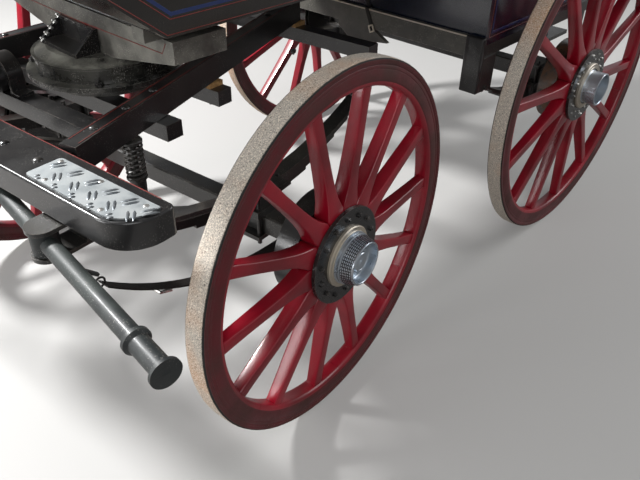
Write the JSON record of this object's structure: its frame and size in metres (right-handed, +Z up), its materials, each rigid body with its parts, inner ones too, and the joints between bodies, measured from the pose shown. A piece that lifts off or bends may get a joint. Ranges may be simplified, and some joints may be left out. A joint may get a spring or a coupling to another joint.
{
  "type": "pair-horse wagonette carriage",
  "caption": "Wooden horse-drawn wagonette with red spoked wheels, a turning fore-carriage with sprung axle, splinter board, swingletrees and pole, a driver's box and facing benches.",
  "frame": {"origin": "under the middle of the whole carriage, pole included, on the ground", "axes": "+X forward along the body, +Y to the carriage's left, +Z up"},
  "size_m": [5.1833, 1.6966, 1.7873],
  "materials": {
    "black_iron": "black gloss paint",
    "body_paint": "navy blue gloss paint with red lining",
    "drum_paint": "dark paint, browned",
    "frame_paint": "black gloss paint with red lining, dusty",
    "hub_steel": "galvanised and polished steel",
    "raw_wood": "bare sawn wood",
    "seat_leather": "dark buttoned leather",
    "spring_paint": "black paint, dusty",
    "strap_leather": "black harness leather",
    "tread_plate": "pale chequer plate",
    "tree_paint": "black gloss paint, speckled with dust",
    "tyre_rubber": "dusty grey solid rubber",
    "wheel_paint": "crimson gloss paint"
  },
  "bodies": {
    "front_left_wheel": {"tyre_front_left": "tyre_rubber", "wheel_front_left": "wheel_paint", "hub_front_left": "hub_steel", "drum_front_left": "drum_paint"},
    "front_right_wheel": {"tyre_front_right": "tyre_rubber", "wheel_front_right": "wheel_paint", "hub_front_right": "hub_steel", "drum_front_right": "drum_paint"},
    "rear_left_wheel": {"tyre_rear_left": "tyre_rubber", "wheel_rear_left": "wheel_paint", "hub_rear_left": "hub_steel", "drum_rear_left": "drum_paint"},
    "rear_right_wheel": {"tyre_rear_right": "tyre_rubber", "wheel_rear_right": "wheel_paint", "hub_rear_right": "hub_steel", "drum_rear_right": "drum_paint"},
    "left_swingletree": {"swingletree_left": "tree_paint"},
    "right_swingletree": {"swingletree_right": "tree_paint"},
    "door": {"rear_door": "body_paint", "door_handle": "black_iron"},
    "fore_carriage": {"front_axle": "spring_paint", "front_springs": "spring_paint", "front_spring_irons": "spring_paint", "futchells": "frame_paint", "crossbars": "frame_paint", "packing_blocks": "raw_wood", "splinter_board": "frame_paint", "step_treads": "tread_plate", "board_stays": "spring_paint", "turntable_lower": "black_iron", "swingletree_forks": "spring_paint", "front_dampers": "spring_paint", "pole": "frame_paint", "pole_irons": "black_iron", "check_straps": "strap_leather"},
    "carriage_body": {"bench_backs": "body_paint", "bench_cushions": "seat_leather", "benches": "body_paint", "body_floor": "body_paint", "body_sides": "body_paint", "bolster": "frame_paint", "bolster_bracket": "black_iron", "boot_floor": "body_paint", "boot_rails": "frame_paint", "boot_sides": "body_paint", "chassis": "frame_paint", "door_hinges": "black_iron", "driver_back": "seat_leather", "driver_box": "body_paint", "driver_cushion": "seat_leather", "front_sill": "frame_paint", "front_wall": "body_paint", "rear_axle": "spring_paint", "rear_spring_irons": "spring_paint", "rear_springs": "spring_paint", "rear_step": "black_iron", "rear_walls": "body_paint", "seat_irons": "black_iron", "turntable_upper": "black_iron"}
  },
  "joints": [
    {"name": "front_left_wheel_spin", "type": "hinge", "parent": "fore_carriage", "child": "front_left_wheel", "pos_m": [-0.33669, 0.5832, 0.475], "axis": [-0.1002, 0.995, 0], "continuous": true},
    {"name": "front_right_wheel_spin", "type": "hinge", "parent": "fore_carriage", "child": "front_right_wheel", "pos_m": [-0.20625, -0.71224, 0.475], "axis": [-0.1002, 0.995, 0], "continuous": true},
    {"name": "rear_left_wheel_spin", "type": "hinge", "parent": "carriage_body", "child": "rear_left_wheel", "pos_m": [-1.617, 0.597, 0.548], "axis": [0, 1, 0], "continuous": true},
    {"name": "rear_right_wheel_spin", "type": "hinge", "parent": "carriage_body", "child": "rear_right_wheel", "pos_m": [-1.617, -0.705, 0.548], "axis": [0, 1, 0], "continuous": true},
    {"name": "steering", "type": "hinge", "parent": "carriage_body", "child": "fore_carriage", "pos_m": [-0.167, -0.054, 0.84], "axis": [0, 0, 1], "range_deg": [-55.75, 44.25]},
    {"name": "left_swingletree_pivot", "type": "hinge", "parent": "fore_carriage", "child": "left_swingletree", "pos_m": [0.27546, 0.42273, 0.74], "axis": [0, 0, 1], "range_deg": [-6.6, 29.4]},
    {"name": "right_swingletree_pivot", "type": "hinge", "parent": "fore_carriage", "child": "right_swingletree", "pos_m": [0.36163, -0.43294, 0.74], "axis": [0, 0, 1], "range_deg": [-18, 18]},
    {"name": "door_swing", "type": "hinge", "parent": "carriage_body", "child": "door", "pos_m": [-2.341, -0.279, 1.08], "axis": [0, 0, 1], "range_deg": [0, 110]}
  ]
}
